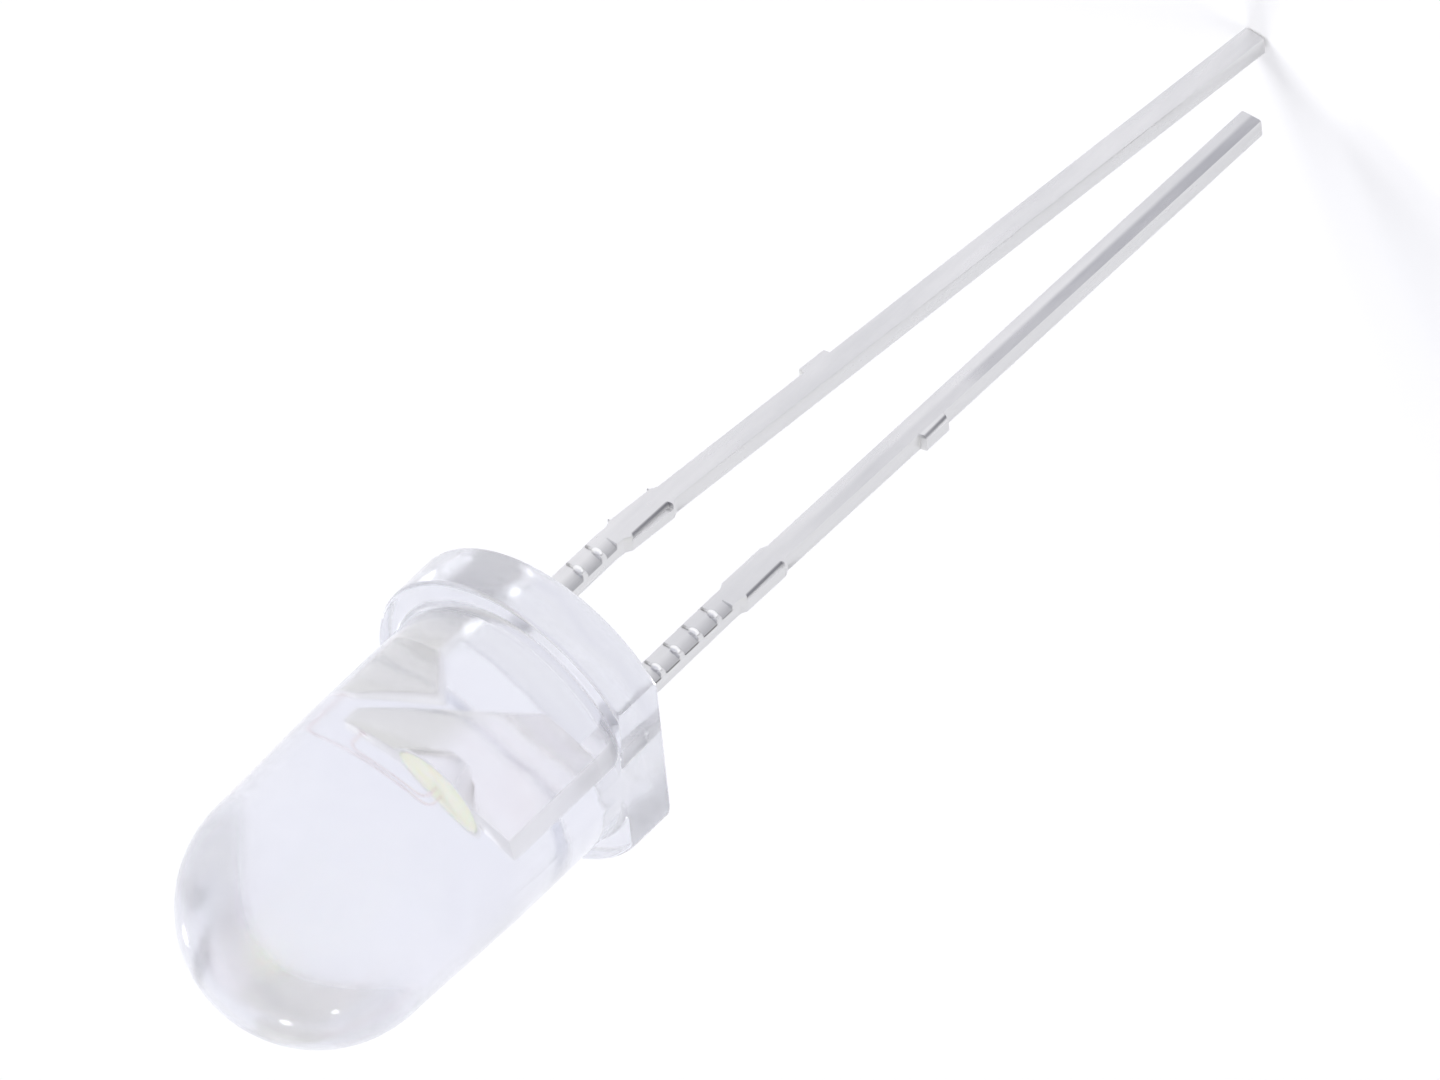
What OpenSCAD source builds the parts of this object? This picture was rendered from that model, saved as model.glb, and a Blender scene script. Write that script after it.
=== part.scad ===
// Through hole LED: a round lens of clear epoxy moulded over a two lead frame.
// It stands upright in its own frame: +X towards the cathode, +Y towards the ribbed faces of the
// leads, +Z out through the dome, with the middle of the underside of the flange at the origin.

/* [Lens] */
// Height from the underside of the flange to the top of the dome
lens_h = 8.65; // [7.5:0.1:12]
// Diameter of the straight part of the barrel
barrel_d = 4.96; // [4.8:0.01:5]
// Length of the straight part of the barrel, above the flange
straight_h = 2.4; // [1:0.1:3.5]
// Diameter of the dome, to which the barrel tapers
dome_d = 4.82; // [4.6:0.01:4.95]

/* [Flange] */
// Diameter of the flange
flange_d = 5.9; // [5.5:0.05:6.4]
// Height of the flange
flange_h = 1.03; // [0.7:0.05:1.4]
// Distance of the cathode flat from the axis
flat_at = 2.47; // [2.45:0.01:2.6]
// Radius of the round edges of the flange
edge_r = 0.08; // [0.03:0.01:0.15]
// Radius of the fillet between flange and barrel
fillet_r = 0.16; // [0.05:0.01:0.2]

/* [Leads] */
// Distance between the two leads where they enter the lens
pitch = 2.54; // [2.3:0.01:2.7]
// Width of a lead, along the row of leads
lead_w = 0.45; // [0.4:0.01:0.55]
// Thickness of the sheet that the leads are cut from
lead_t = 0.38; // [0.3:0.01:0.5]
// Bevel on the long edges of the leads
lead_edge = 0.04; // [0.01:0.01:0.08]
// Length of the cathode lead below the flange
cathode_len = 17.4; // [12:0.1:28]
// Length of the anode lead below the flange
anode_len = 19.1; // [13:0.1:30]
// Distance below the flange at which each lead bends
bend_at = 3.1; // [2.9:0.1:5]
// Angle by which the anode lead leans towards the cathode
anode_lean = 5.8; // [0:0.1:6]
// Angle by which the cathode lead leans away from the anode
cathode_lean = 1.1; // [0:0.1:4]

/* [Stoppers] */
// Distance from the bend to the stopper
stopper_at = 0.2; // [0.1:0.05:0.4]
// Length of the wide stopper on each lead
stopper_len = 1.25; // [0.8:0.05:2.5]
// How far a stopper stands out on each side of its lead
stopper_out = 0.06; // [0.04:0.01:0.25]
// Length of the slope at each end of a stopper
stopper_slope = 0.12; // [0.05:0.01:0.3]
// Depth of the torn strip along the upper edge of a stopper's cut side
tear_deep = 0.04; // [0.02:0.01:0.06]
// Height of the torn strip
tear_h = 0.1; // [0.05:0.01:0.15]
// Distance from the bend to the stub of the cut tie bar
stub_at = 5.0; // [3:0.1:6]
// Length of the stub of the cut tie bar
stub_len = 0.65; // [0.3:0.1:1]
// How far the stub stands out from the outer side of its lead
stub_out = 0.12; // [0.05:0.01:0.2]

/* [Ribs] */
// Number of ribs across the face of each lead
rib_count = 6; // [2:1:6]
// Distance from the flange to the first rib
rib_first = 0.22; // [0.15:0.01:0.3]
// Distance from rib to rib
rib_pitch = 0.507; // [0.45:0.01:0.52]
// Radius of a rib
rib_r = 0.035; // [0.02:0.005:0.05]
// Radius of the bead at the cathode end of a rib
bead_r = 0.07; // [0.04:0.01:0.08]
// Thickness of the web that is left under a rib between two pockets
web_t = 0.1; // [0.06:0.01:0.14]
// Width of a pocket, from the outer long edge of the face
pocket_w = 0.23; // [0.15:0.01:0.28]
// Depth to which a pocket slopes down at that edge
pocket_deep = 0.06; // [0.02:0.01:0.1]

/* [Anvil] */
// Height of the anvil's top above the underside of the flange
anvil_top = 3.45; // [3.2:0.05:4]
// Reach of the anvil past the axis, towards the anode
anvil_reach = 1.2; // [1.15:0.01:1.25]
// Height of the upright inner edge of the anvil
anvil_lip = 0.35; // [0.3:0.01:0.45]
// Height of the anvil's lower edge
anvil_foot = 1.1; // [0.9:0.05:1.4]
// Distance from the axis at which the slanted inner edge meets the lower one
anvil_waist = 0.35; // [0.25:0.05:0.6]

/* [Reflector cup] */
// Diameter of the cup's mouth
cup_d = 1.12; // [1:0.01:1.16]
// Diameter of the cup's floor
cup_floor_d = 0.64; // [0.6:0.01:0.8]
// Depth of the cup
cup_deep = 0.38; // [0.35:0.01:0.5]
// Wall around the cup, at its mouth
cup_wall = 0.08; // [0.06:0.01:0.1]
// Metal below the floor of the cup
cup_base = 0.22; // [0.15:0.01:0.4]

/* [Post] */
// Width of the post's top
post_head_w = 0.18; // [0.16:0.01:0.22]
// Width of the gap between the post and the slanted edge of the anvil
frame_gap = 0.25; // [0.2:0.01:0.3]
// Height at which the post's wing leaves its stem
wing_foot = 1.3; // [1.15:0.05:1.45]
// Reach of the post's wing from its outer edge
wing_reach = 0.78; // [0.65:0.01:0.9]

/* [Chip] */
// Side of the square chip
chip_side = 0.34; // [0.25:0.01:0.38]
// Height of the chip
chip_h = 0.12; // [0.09:0.01:0.15]
// Thickness of the die attach under the chip
attach_h = 0.02; // [0.01:0.01:0.03]
// How far the die attach shows around the chip
attach_out = 0.03; // [0.01:0.01:0.05]
// Diameter of a bond pad on the chip
pad_d = 0.1; // [0.08:0.01:0.11]
// Thickness of a bond pad
pad_h = 0.01; // [0.005:0.005:0.02]
// Distance of a bond pad from the middle of the chip
pad_at = 0.09; // [0.07:0.01:0.1]

/* [Bond wires] */
// Diameter of the bond wires
wire_d = 0.034; // [0.02:0.002:0.04]
// Height of the wire loops above the top of the anvil
loop_h = 0.38; // [0.3:0.01:0.6]
// Radius of the bends in a wire
loop_r = 0.14; // [0.08:0.01:0.16]
// Diameter of the ball bond on the chip
ball_d = 0.08; // [0.05:0.01:0.08]
// Distance of the post's bond from its inner edge
post_bond_in = 0.09; // [0.06:0.005:0.1]
// Place of the cathode bond on the anvil's inner end, from the axis
anvil_bond_at = 1; // [0.85:0.01:1.08]
// Side of the pressed foot at the end of a wire
foot_side = 0.08; // [0.05:0.01:0.09]
// Thickness of the pressed foot
foot_h = 0.02; // [0.01:0.005:0.03]

/* [Phosphor] */
// How far the phosphor swells above the cup's mouth
phosphor_rise = 0.06; // [0.03:0.01:0.1]

/* [Hidden] */
$fn = 72;

clear_epoxy = [0.86, 0.88, 0.96, 0.4];
tinned_steel = [0.62, 0.62, 0.64];
silver_paste = [0.72, 0.72, 0.70];
chip_blue = [0.42, 0.52, 0.62];
gold = [0.85, 0.62, 0.35];
phosphor_yellow = [0.92, 0.86, 0.35];

cut = 0.5;
embed = 0.2;
barrel_r = barrel_d / 2;
dome_r = dome_d / 2;
flange_r = flange_d / 2;
dome_at = lens_h - dome_r;
taper_at = flange_h + straight_h;
lead_x = pitch / 2;
stem_in = lead_x - lead_w / 2;
stem_out = lead_x + lead_w / 2;

cup_rim_r = cup_d / 2 + cup_wall;
cup_floor = anvil_top - cup_deep;
cup_bottom = cup_floor - cup_base;
cup_slope = (cup_d - cup_floor_d) / 2 / cup_deep;
chip_foot = cup_floor + attach_h;
chip_top = chip_foot + chip_h;
pad_top = chip_top + pad_h;
loop_top = anvil_top + loop_h;

// The slanted edge of the anvil, from its upper end to its lower one
slant_from = [-anvil_reach, anvil_top - anvil_lip];
slant_to = [anvil_waist, anvil_foot];
slant_angle = atan2(slant_from[1] - slant_to[1], slant_to[0] - slant_from[0]);
// The post's edge is parallel to it, frame_gap away
post_line = slant_from - frame_gap * [sin(slant_angle), cos(slant_angle)];
function on_post_line(x) = post_line[1] - (x - post_line[0]) * tan(slant_angle);
wing_tip = -stem_out + wing_reach;
head_in = -stem_out + post_head_w;
// Kept to whole hundredths, as the wire stands on it
post_top = round(on_post_line(head_in) * 100) / 100;
post_bond_at = head_in - post_bond_in;

// Half of the lens's outline, to the right of the axis
module lens_profile() {
    fillet_foot = barrel_r + fillet_r;
    intersection() {
        translate([0, -cut])
            square([flange_d, lens_h + 2 * cut]);
        union() {
            translate([0, edge_r])
                square([flange_r, flange_h - 2 * edge_r]);
            square([flange_r - edge_r, flange_h]);
            for (y = [edge_r, flange_h - edge_r])
                translate([flange_r - edge_r, y])
                    circle(r = edge_r);
            difference() {
                translate([0, flange_h - embed])
                    square([fillet_foot, fillet_r + embed]);
                translate([fillet_foot, flange_h + fillet_r])
                    circle(r = fillet_r);
            }
            translate([0, flange_h - embed])
                square([barrel_r, straight_h + embed]);
            polygon([[0, taper_at], [barrel_r, taper_at], [dome_r, dome_at], [0, dome_at]]);
            translate([0, dome_at])
                circle(r = dome_r);
        }
    }
}

// A straight piece of lead with bevelled long edges, from Z = 0 up
module bar(length, width) {
    x = width / 2;
    y = lead_t / 2;
    linear_extrude(length)
        polygon([
            [-x + lead_edge, -y], [x - lead_edge, -y], [x, -y + lead_edge], [x, y - lead_edge],
            [x - lead_edge, y], [-x + lead_edge, y], [-x, y - lead_edge], [-x, -y + lead_edge]
        ]);
}

// A flat piece of the frame, cut from the sheet to an outline in the XZ plane
module sheet(outline) {
    rotate([90, 0, 0])
        linear_extrude(lead_t, center = true)
            polygon(outline);
}

// Ribs with their beads across the face of a lead, from the flange down
module ribs() {
    rib_len = lead_w - 2 * lead_edge;
    for (i = [0:rib_count - 1])
        translate([0, lead_t / 2, -rib_first - i * rib_pitch]) {
            rotate([0, 90, 0])
                cylinder(r = rib_r, h = rib_len, center = true);
            translate([rib_len / 2 - bead_r, 0, 0])
                sphere(r = bead_r);
        }
}

// The pockets between the ribs: wedges that start at nothing along the middle of the face and slope down
// to its edge. They reach past the face and the edge to cut them.
module pockets() {
    slope = pocket_deep / pocket_w;
    reach = pocket_w + cut;
    for (i = [0:rib_count - 1])
        translate([lead_w / 2 - pocket_w, lead_t / 2, -rib_first - (i + 1) * rib_pitch + web_t / 2])
            linear_extrude(rib_pitch - web_t)
                polygon([[0, 0], [reach, -slope * reach], [reach, cut], [0, cut]]);
}

// The stopper, from Z = 0 down, with sloping ends and the torn strip where the tie bar was cut off
module stopper() {
    x = lead_w / 2;
    wide = x + stopper_out;
    low = -stopper_len;
    tear_len = stopper_len - 2 * stopper_slope;
    difference() {
        sheet([
            [-x, 0], [-wide, -stopper_slope], [-wide, low + stopper_slope], [-x, low],
            [x, low], [wide, low + stopper_slope], [wide, -stopper_slope], [x, 0]
        ]);
        translate([wide - tear_deep, lead_t / 2 - tear_h, -stopper_slope - tear_len])
            cube([tear_deep + cut, tear_h + cut, tear_len]);
    }
}

// The outside part of a lead: the ribbed root, then the leaning leg with its stopper and stub.
// side is 1 where the outer side of the lead is towards +X and -1 where it is towards -X.
module leg(length, lean, side) {
    difference() {
        translate([0, 0, -bend_at - embed])
            bar(bend_at + embed, lead_w);
        pockets();
    }
    ribs();
    translate([0, 0, -bend_at])
        rotate([0, lean, 0]) {
            translate([0, 0, -(length - bend_at)])
                bar(length - bend_at, lead_w);
            translate([0, 0, -stopper_at])
                stopper();
            translate([side * stub_out, 0, -stub_at - stub_len])
                bar(stub_len, lead_w);
        }
}

// The cup's outside, round about the axis, with the cup still filled
module cup_body() {
    cylinder_h = anvil_top - cup_bottom;
    bottom_r = cup_rim_r - cup_slope * cylinder_h;
    translate([0, 0, cup_bottom])
        cylinder(r1 = bottom_r, r2 = cup_rim_r, h = cylinder_h);
}

// The hollow of the cup, as far as its mouth
module cup_hollow() {
    translate([0, 0, cup_floor])
        cylinder(d1 = cup_floor_d, d2 = cup_d, h = cup_deep);
}

module cathode_frame() {
    difference() {
        union() {
            translate([lead_x, 0, 0]) {
                leg(cathode_len, -cathode_lean, 1);
                bar(anvil_foot, lead_w);
            }
            sheet([
                slant_to, [stem_out, anvil_foot], [stem_out, anvil_top], [-anvil_reach, anvil_top],
                slant_from
            ]);
            cup_body();
        }
        cup_hollow();
    }
}

module anode_frame() {
    translate([-lead_x, 0, 0]) {
        leg(anode_len, -anode_lean, -1);
        bar(wing_foot, lead_w);
    }
    sheet([
        [-stem_out, wing_foot], [-stem_in, wing_foot], [wing_tip, on_post_line(wing_tip)],
        [head_in, post_top], [-stem_out, post_top]
    ]);
}

module attach_solid() {
    side = chip_side + 2 * attach_out;
    translate([-side / 2, -side / 2, cup_floor])
        cube([side, side, attach_h]);
}

module chip_solid() {
    translate([-chip_side / 2, -chip_side / 2, chip_foot])
        cube([chip_side, chip_side, chip_h]);
}

module pads_solid() {
    for (side = [-1, 1])
        translate([0, side * pad_at, chip_top])
            cylinder(d = pad_d, h = pad_h);
}

// An upright length of wire that hangs down from a bend at height top
module hanging_wire(x, length, top) {
    translate([x, 0, top])
        mirror([0, 0, 1])
            cylinder(d = wire_d, h = length);
}

// A bond wire, from its ball on a pad over the loop's top towards -X to its foot on the frame.
// side is 1 for the wire on the pad towards +Y and -1 for the other.
module wire_solid(side, reach, foot_z) {
    rise = loop_top - loop_r;
    run = reach - 2 * loop_r;
    mirror([1, 0, 0])
        translate([0, side * pad_at, 0]) {
            translate([0, 0, pad_top])
                cylinder(d = ball_d, h = wire_d);
            hanging_wire(0, rise - pad_top, rise);
            translate([loop_r, 0, rise])
                rotate([90, 0, 0])
                    rotate_extrude(angle = 90, start = 90)
                        translate([loop_r, 0])
                            circle(d = wire_d);
            translate([loop_r, 0, loop_top])
                rotate([0, 90, 0])
                    cylinder(d = wire_d, h = run);
            translate([loop_r + run, 0, rise])
                rotate([90, 0, 0])
                    rotate_extrude(angle = 90)
                        translate([loop_r, 0])
                            circle(d = wire_d);
            hanging_wire(2 * loop_r + run, rise - foot_z, rise);
            translate([2 * loop_r + run - foot_side / 2, -foot_side / 2, foot_z])
                cube([foot_side, foot_side, foot_h]);
        }
}

module cathode_wire_solid() {
    wire_solid(1, anvil_bond_at, anvil_top);
}

module anode_wire_solid() {
    wire_solid(-1, -post_bond_at, post_top);
}

// The phosphor fills the cup and swells above its mouth as a flat cap of a sphere
module phosphor_solid() {
    mouth_r = cup_d / 2;
    swell_r = (mouth_r * mouth_r + phosphor_rise * phosphor_rise) / (2 * phosphor_rise);
    cup_hollow();
    rotate_extrude()
        intersection() {
            translate([0, anvil_top])
                square([mouth_r, phosphor_rise * 2]);
            translate([0, anvil_top + phosphor_rise - swell_r])
                circle(r = swell_r);
        }
}

// Everything that stands in the cup's phosphor
module cup_contents() {
    attach_solid();
    chip_solid();
    pads_solid();
    cathode_wire_solid();
    anode_wire_solid();
}

module lens() {
    color(clear_epoxy)
        difference() {
            rotate_extrude()
                lens_profile();
            translate([flat_at, -flange_d, -cut])
                cube([flange_d, 2 * flange_d, lens_h + 2 * cut]);
            cathode_frame();
            anode_frame();
            phosphor_solid();
            cathode_wire_solid();
            anode_wire_solid();
        }
}

module cathode_lead() {
    color(tinned_steel)
        cathode_frame();
}

module anode_lead() {
    color(tinned_steel)
        anode_frame();
}

module die_attach() {
    color(silver_paste)
        attach_solid();
}

module led_chip() {
    color(chip_blue)
        chip_solid();
}

module bond_pads() {
    color(gold)
        pads_solid();
}

module cathode_wire() {
    color(gold)
        cathode_wire_solid();
}

module anode_wire() {
    color(gold)
        anode_wire_solid();
}

module phosphor() {
    color(phosphor_yellow)
        difference() {
            phosphor_solid();
            cup_contents();
        }
}

lens();
cathode_lead();
anode_lead();
die_attach();
led_chip();
bond_pads();
cathode_wire();
anode_wire();
phosphor();
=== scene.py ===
"""Through hole LED: a clear epoxy lens cast over a tinned lead frame, in a plain pale studio."""
import logging
import math
from dataclasses import dataclass, field
from enum import Enum

import bmesh
import bpy
from mathutils import Matrix, Vector


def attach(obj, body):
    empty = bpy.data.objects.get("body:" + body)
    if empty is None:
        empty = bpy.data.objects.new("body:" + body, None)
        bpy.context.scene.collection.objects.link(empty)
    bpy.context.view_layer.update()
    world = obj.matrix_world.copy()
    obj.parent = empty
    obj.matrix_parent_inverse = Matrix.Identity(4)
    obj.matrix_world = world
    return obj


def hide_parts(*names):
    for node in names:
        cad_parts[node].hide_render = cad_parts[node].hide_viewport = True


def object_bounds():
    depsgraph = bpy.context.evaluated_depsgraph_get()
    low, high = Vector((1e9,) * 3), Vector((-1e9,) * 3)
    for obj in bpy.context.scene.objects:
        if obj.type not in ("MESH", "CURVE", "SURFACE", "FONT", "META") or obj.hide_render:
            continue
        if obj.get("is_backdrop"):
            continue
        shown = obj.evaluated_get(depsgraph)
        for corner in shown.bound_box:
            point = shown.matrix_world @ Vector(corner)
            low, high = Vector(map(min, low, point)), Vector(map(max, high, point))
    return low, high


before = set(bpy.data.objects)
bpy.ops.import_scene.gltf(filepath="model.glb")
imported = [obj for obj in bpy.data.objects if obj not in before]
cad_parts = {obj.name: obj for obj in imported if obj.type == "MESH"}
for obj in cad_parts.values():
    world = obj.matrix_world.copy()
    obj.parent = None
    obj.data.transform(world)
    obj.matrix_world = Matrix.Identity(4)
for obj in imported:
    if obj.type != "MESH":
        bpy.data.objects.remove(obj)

Colour = tuple[float, float, float]
Point = tuple[float, float]
Tree = bpy.types.NodeTree
Node = bpy.types.Node
Socket = bpy.types.NodeSocket
Mesh = bpy.types.Mesh
Piece = bpy.types.Object
Material = bpy.types.Material
Shape = bmesh.types.BMesh
Inputs = dict[str | int, object]

CAD_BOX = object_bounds()
LOG = logging.getLogger("led")
MM = 0.001
BODY = "root"
# Values that the points of a leg carry: how unplated they are, with painted shade in the pockets and a
# painted highlight on the beads, and where they are across and along it
BARE_AND_PAINTED_LIGHT = "bare_and_painted_light"
ACROSS = "across"
ALONG = "along"
EVEN = (1.0, 1.0, 1.0)
WHITE = (1.0, 1.0, 1.0)
CUP_SEGMENTS = 64


class Side(Enum):
    """Which of the two leads a piece belongs to, as its direction along the row of leads."""

    CATHODE = 1
    ANODE = -1


# Helpers for node trees


def feed(socket: Socket, source: object) -> None:
    """Links an input to its source, or sets its value.

    Args:
        socket: the input.
        source: an output socket, or a number, colour, vector, name or material.
    """
    if isinstance(source, Socket):
        socket.id_data.links.new(source, socket)
    elif socket.type == "RGBA":
        socket.default_value = (*source, 1.0)
    else:
        socket.default_value = source


def add_node(tree: Tree, kind: str, inputs: Inputs | None = None, **settings: object) -> Node:
    """Adds a node to a tree.

    Args:
        tree: the node tree.
        kind: the node's type name.
        inputs: what feeds each input, by the input's name or number.
        settings: attributes that are set on it first.

    Returns:
        The new node.
    """
    node = tree.nodes.new(kind)
    for name, value in settings.items():
        setattr(node, name, value)
    for name, source in (inputs or {}).items():
        feed(node.inputs[name], source)
    return node


def calculate(tree: Tree, operation: str, *values: object, clamp: bool = False) -> Socket:
    """The result of a Math node with those values, held between 0 and 1 where it is clamped."""
    node = add_node(tree, "ShaderNodeMath", dict(enumerate(values)), operation=operation, use_clamp=clamp)
    return node.outputs[0]


def ramp(tree: Tree, value: Socket, start: float, end: float, low: object = 0.0, high: object = 1.0,
         smooth: bool = True) -> Socket:
    """A number that runs from low to high while a value runs from start to end.

    Args:
        tree: the node tree.
        value: the value.
        start: where the run starts.
        end: where it ends.
        low: number or socket at the start.
        high: number or socket at the end.
        smooth: whether it starts and ends gently.

    Returns:
        The number.
    """
    inputs = {"Value": value, "From Min": start, "From Max": end, "To Min": low, "To Max": high}
    kind = "SMOOTHSTEP" if smooth else "LINEAR"
    return add_node(tree, "ShaderNodeMapRange", inputs, interpolation_type=kind).outputs["Result"]


def over(tree: Tree, share: Socket, under: object, cover: object, colours: bool = True) -> Socket:
    """Lays one colour over another, or one number over another.

    Args:
        tree: the node tree.
        share: how much of the cover shows.
        under: what is below.
        cover: what is on top.
        colours: whether they are colours.

    Returns:
        The mixed colour or number.
    """
    kind, first, result = ("RGBA", 6, 2) if colours else ("FLOAT", 2, 0)
    inputs = {"Factor": share, first: under, first + 1: cover}
    return add_node(tree, "ShaderNodeMix", inputs, data_type=kind).outputs[result]


def mix_shaders(tree: Tree, share: Socket, under: Node, cover: Node) -> Node:
    """The node that lays one shader over another, with share of the cover showing."""
    return add_node(tree, "ShaderNodeMixShader", {0: share, 1: under.outputs[0], 2: cover.outputs[0]})


def axes(tree: Tree, kind: str) -> Node:
    """The node that gives X, Y and Z of one kind of texture coordinate."""
    place = add_node(tree, "ShaderNodeTexCoord")
    return add_node(tree, "ShaderNodeSeparateXYZ", {0: place.outputs[kind]})


def carried(tree: Tree, name: str) -> Socket:
    """The value of that name that the mesh's points carry."""
    return add_node(tree, "ShaderNodeAttribute", attribute_name=name).outputs["Fac"]


def new_material(name: str) -> Material:
    """Makes a material with an empty node tree.

    Args:
        name: its name.

    Returns:
        The material.
    """
    material = bpy.data.materials.new(name)
    material.use_nodes = True
    material.node_tree.nodes.clear()
    return material


def new_group(name: str, kind: str, takes: dict[str, str],
              gives: dict[str, str]) -> tuple[Tree, Node, Node]:
    """Makes a node group with its sockets.

    Args:
        name: the group's name.
        kind: its tree type.
        takes: the socket type of each input, without its prefix.
        gives: the same for each output.

    Returns:
        The tree, the node of its inputs and the node of its outputs.
    """
    tree = bpy.data.node_groups.new(name, kind)
    for way, sockets in (("INPUT", takes), ("OUTPUT", gives)):
        for label, socket in sockets.items():
            tree.interface.new_socket(name=label, in_out=way, socket_type=f"NodeSocket{socket}")
    return tree, add_node(tree, "NodeGroupInput"), add_node(tree, "NodeGroupOutput")


def join(tree: Tree, *parts: Socket) -> Socket:
    """Joins several geometries.

    Args:
        tree: the node tree.
        parts: the geometries, in their order.

    Returns:
        All of them.
    """
    node = add_node(tree, "GeometryNodeJoinGeometry")
    for part in parts:
        feed(node.inputs[0], part)
    return node.outputs[0]


def end_tree(tree: Tree, made: Socket, metal: Socket, end: Node) -> None:
    """Ends a geometry node tree with real geometry that has its material.

    Args:
        tree: the tree.
        made: what the tree made.
        metal: the material's socket.
        end: the node of the group's outputs.
    """
    real = add_node(tree, "GeometryNodeRealizeInstances", {0: made})
    paint = add_node(tree, "GeometryNodeSetMaterial", {"Geometry": real.outputs[0], "Material": metal})
    feed(end.inputs[0], paint.outputs[0])


def bake_nodes(piece: Piece, tree: Tree, values: dict[str, object]) -> None:
    """Runs a geometry node tree on a piece and leaves a plain mesh.

    Args:
        piece: the object.
        tree: the geometry node tree.
        values: value of each named input.
    """
    modifier = piece.modifiers.new(tree.name, "NODES")
    modifier.node_group = tree
    for item in tree.interface.items_tree:
        if item.item_type == "SOCKET" and item.in_out == "INPUT" and item.name in values:
            modifier[item.identifier] = values[item.name]
    bpy.context.view_layer.update()
    graph = bpy.context.evaluated_depsgraph_get()
    mesh = bpy.data.meshes.new_from_object(piece.evaluated_get(graph))
    piece.modifiers.remove(modifier)
    old = piece.data
    piece.data = mesh
    bpy.data.meshes.remove(old)


# Helpers for meshes


def new_object(name: str, data: bpy.types.ID) -> Piece:
    """Puts a mesh, lamp or camera into the scene as an object at the origin.

    Args:
        name: the object's name.
        data: its mesh, placed in the row frame, or its lamp or camera.

    Returns:
        The new object.
    """
    piece = bpy.data.objects.new(name, data)
    bpy.context.scene.collection.objects.link(piece)
    return piece


def mesh_from(bm: Shape, name: str, sharp: float = 32.0) -> Mesh:
    """Turns a shape in millimetres into a smooth shaded mesh in metres, with its faces outwards.

    Args:
        bm: the shape, which is freed.
        name: the mesh's name.
        sharp: edges bent by more than this, in degrees, stay sharp.

    Returns:
        The mesh.
    """
    bmesh.ops.recalc_face_normals(bm, faces=bm.faces)
    bmesh.ops.scale(bm, vec=(MM, MM, MM), verts=bm.verts)
    mesh = bpy.data.meshes.new(name)
    bm.to_mesh(mesh)
    bm.free()
    mesh.shade_smooth()
    mesh.set_sharp_from_angle(angle=math.radians(sharp))
    return mesh


def arc(centre: Point, radius: float, start: float, end: float, steps: int) -> list[Point]:
    """Points on an arc, in steps from its first angle to its last in degrees, both ends included."""
    angles = [math.radians(start + (end - start) * i / steps) for i in range(steps + 1)]
    return [(centre[0] + radius * math.cos(a), centre[1] + radius * math.sin(a)) for a in angles]


def even_angles(count: int) -> list[float]:
    """The angles of count meridians, evenly round a full turn."""
    return [2 * math.pi * i / count for i in range(count)]


def revolve(bm: Shape, outline: list[Point], angles: list[float]) -> list[bmesh.types.BMVert]:
    """Revolves an outline that starts and ends on the axis, with one vertex at each pole.

    Args:
        bm: the shape to add to.
        outline: radius and height of each point, from pole to pole.
        angles: the angles of its meridians in radians, over a full turn.

    Returns:
        The new vertices.
    """
    count = len(angles)
    rings = []
    for radius, height in outline[1:-1]:
        rings.append([bm.verts.new((radius * math.cos(a), radius * math.sin(a), height)) for a in angles])
    first = bm.verts.new((0, 0, outline[0][1]))
    last = bm.verts.new((0, 0, outline[-1][1]))
    for i in range(count):
        j = (i + 1) % count
        bm.faces.new((first, rings[0][j], rings[0][i]))
        bm.faces.new((last, rings[-1][i], rings[-1][j]))
        for low, high in zip(rings, rings[1:]):
            bm.faces.new((low[i], low[j], high[j], high[i]))
    return [first, last] + [v for ring in rings for v in ring]


def plate(bm: Shape, outline: list[Point], thickness: float, edge: float) -> None:
    """Adds a flat plate cut from sheet, with its edges broken all round.

    Args:
        bm: the shape to add to.
        outline: X and Z of its corners, in order.
        thickness: its thickness along Y, halved about Y = 0.
        edge: the width of the broken edge.
    """
    made = bmesh.new()
    back = [made.verts.new((x, -thickness / 2, z)) for x, z in outline]
    front = [made.verts.new((x, thickness / 2, z)) for x, z in outline]
    made.faces.new(back)
    made.faces.new(front[::-1])
    for i in range(len(outline)):
        j = (i + 1) % len(outline)
        made.faces.new((back[i], front[i], front[j], back[j]))
    bmesh.ops.recalc_face_normals(made, faces=made.faces)
    bmesh.ops.bevel(made, geom=made.edges[:], offset=edge, segments=2, affect="EDGES", profile=0.5)
    scratch = bpy.data.meshes.new("plate")
    made.to_mesh(scratch)
    made.free()
    bm.from_mesh(scratch)
    bpy.data.meshes.remove(scratch)


# Finishes


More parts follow.
